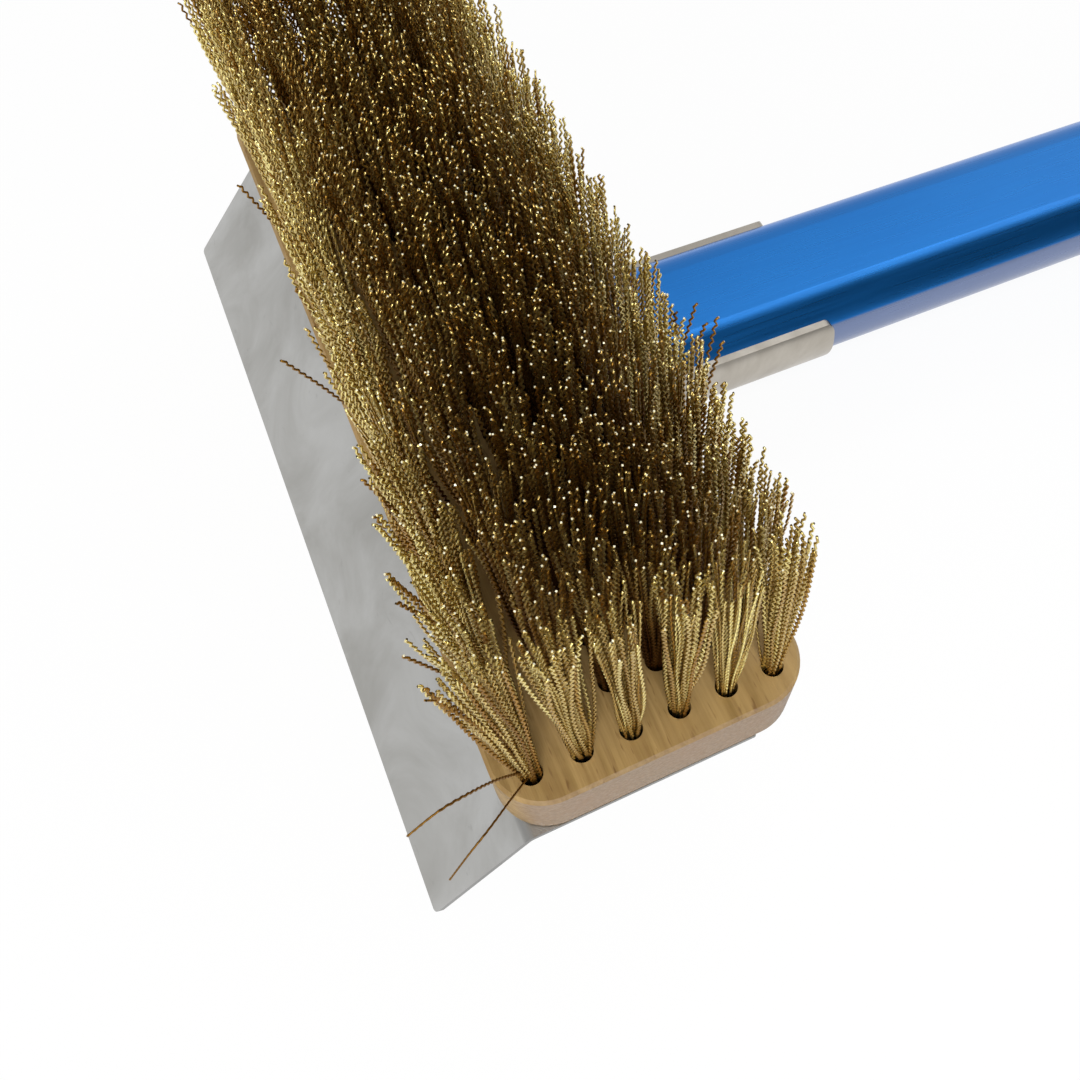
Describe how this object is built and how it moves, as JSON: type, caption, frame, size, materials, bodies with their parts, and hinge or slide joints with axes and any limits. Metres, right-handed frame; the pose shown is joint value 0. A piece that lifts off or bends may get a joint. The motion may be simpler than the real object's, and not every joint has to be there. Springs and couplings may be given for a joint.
{
  "type": "wire brush",
  "caption": "Long-handled wire brush: a wooden block with rows of crimped brass tufts, a bent stainless scraper blade behind it and a flat oval aluminium handle.",
  "frame": {"origin": "centre of the head, on the back face of the bracket's tongue", "axes": "+Z the way the bristles point, +X from the head along the handle, +Y along the wooden block"},
  "size_m": [1.022, 0.2, 0.0943],
  "materials": {
    "wood": "pale sanded hardwood, unvarnished",
    "brass": "crimped brass wire, slightly oxidised",
    "stainless": "satin stainless sheet",
    "blue_aluminium": "satin blue anodised",
    "cap_plastic": "moulded, fine texture",
    "plain_aluminium": "plain rivet",
    "zinc_steel": "bright zinc plated"
  },
  "bodies": {
    "root": {"head_block": "wood", "bristle_row_01": "brass", "bristle_row_02": "brass", "bristle_row_03": "brass", "bristle_row_04": "brass", "bristle_row_05": "brass", "bristle_row_06": "brass", "bristle_row_07": "brass", "bristle_row_08": "brass", "bristle_row_09": "brass", "bristle_row_10": "brass", "bristle_row_11": "brass", "bristle_row_12": "brass", "bristle_row_13": "brass", "bristle_row_14": "brass", "bristle_row_15": "brass", "bristle_row_16": "brass", "bristle_row_17": "brass", "bristle_row_18": "brass", "bristle_row_19": "brass", "tuft_anchors": "zinc_steel", "scraper_plate": "stainless", "handle_bracket": "stainless", "handle_tube": "blue_aluminium", "end_cap": "cap_plastic", "plate_screws": "zinc_steel", "bracket_screws": "zinc_steel", "tube_rivets": "plain_aluminium", "rivet_mandrels": "zinc_steel"}
  },
  "joints": []
}
